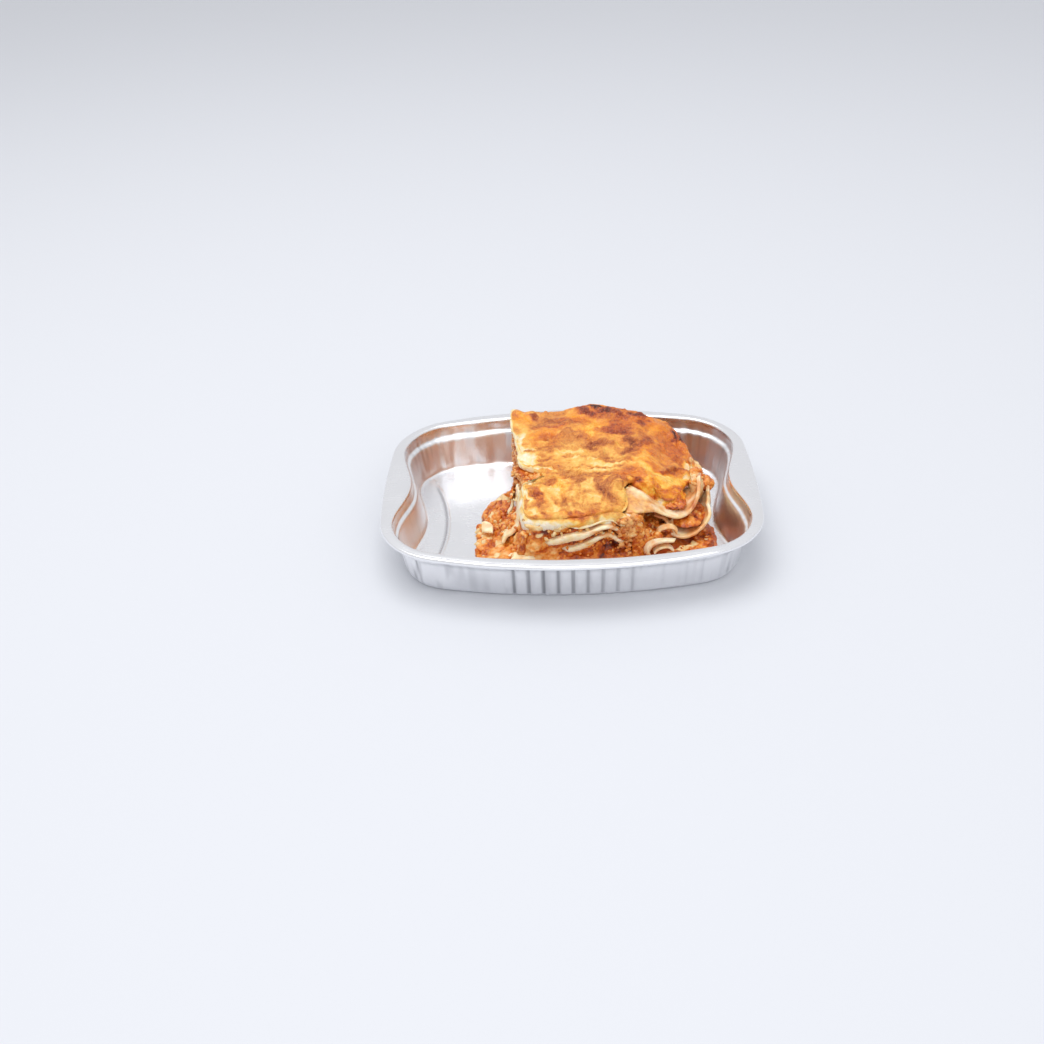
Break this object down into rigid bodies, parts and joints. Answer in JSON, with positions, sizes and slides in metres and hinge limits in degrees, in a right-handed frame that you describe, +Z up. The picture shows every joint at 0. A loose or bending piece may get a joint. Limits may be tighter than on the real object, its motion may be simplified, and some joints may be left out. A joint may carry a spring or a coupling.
{
  "type": "foil tray meal",
  "caption": "Part-eaten baked layered pasta with browned cheese crust and meat sauce, lying in a pinched rectangular aluminium foil tray with a rolled rim.",
  "frame": {"origin": "centre of the tray's flat base, on the surface it stands on", "axes": "+X along the tray's long side, towards the end where the food lies; +Y from the front long side to the back long side; +Z up"},
  "size_m": [0.226, 0.1876, 0.0452],
  "materials": {
    "foil": "bright drawn foil, finely creased walls, soft brushed floor",
    "cheese_crust": "browned melted cheese, yellow and cream between brown patches, a little oily",
    "pasta": "cooked pasta and white sauce, satin and moist, stained by the meat sauce",
    "meat_sauce": "moist mince grains in red-brown tomato sauce",
    "sauce": "thin oily tomato sauce, wet"
  },
  "bodies": {
    "root": {"foil_tray": "foil", "sauce_pool": "sauce", "ragu_layer_1": "meat_sauce", "pasta_sheet_1": "pasta", "ragu_layer_2": "meat_sauce", "pasta_sheet_2": "pasta", "ragu_layer_3": "meat_sauce", "pasta_sheet_3": "pasta", "ragu_layer_4": "meat_sauce", "cheese_top": "cheese_crust", "pasta_fold_upper": "pasta", "pasta_fold_lower": "pasta", "pasta_curl_front": "pasta", "pasta_curl_liner": "pasta", "pasta_scrap_over_curl": "pasta", "pasta_scrap_under_fold": "pasta", "pasta_sheet_left": "pasta", "pasta_strand_left": "pasta", "pasta_lump_left": "pasta", "ragu_in_lower_fold": "meat_sauce", "ragu_in_upper_fold": "meat_sauce", "ragu_lump_right": "meat_sauce", "ragu_spill_left": "meat_sauce", "ragu_spill_right": "meat_sauce"}
  },
  "joints": []
}
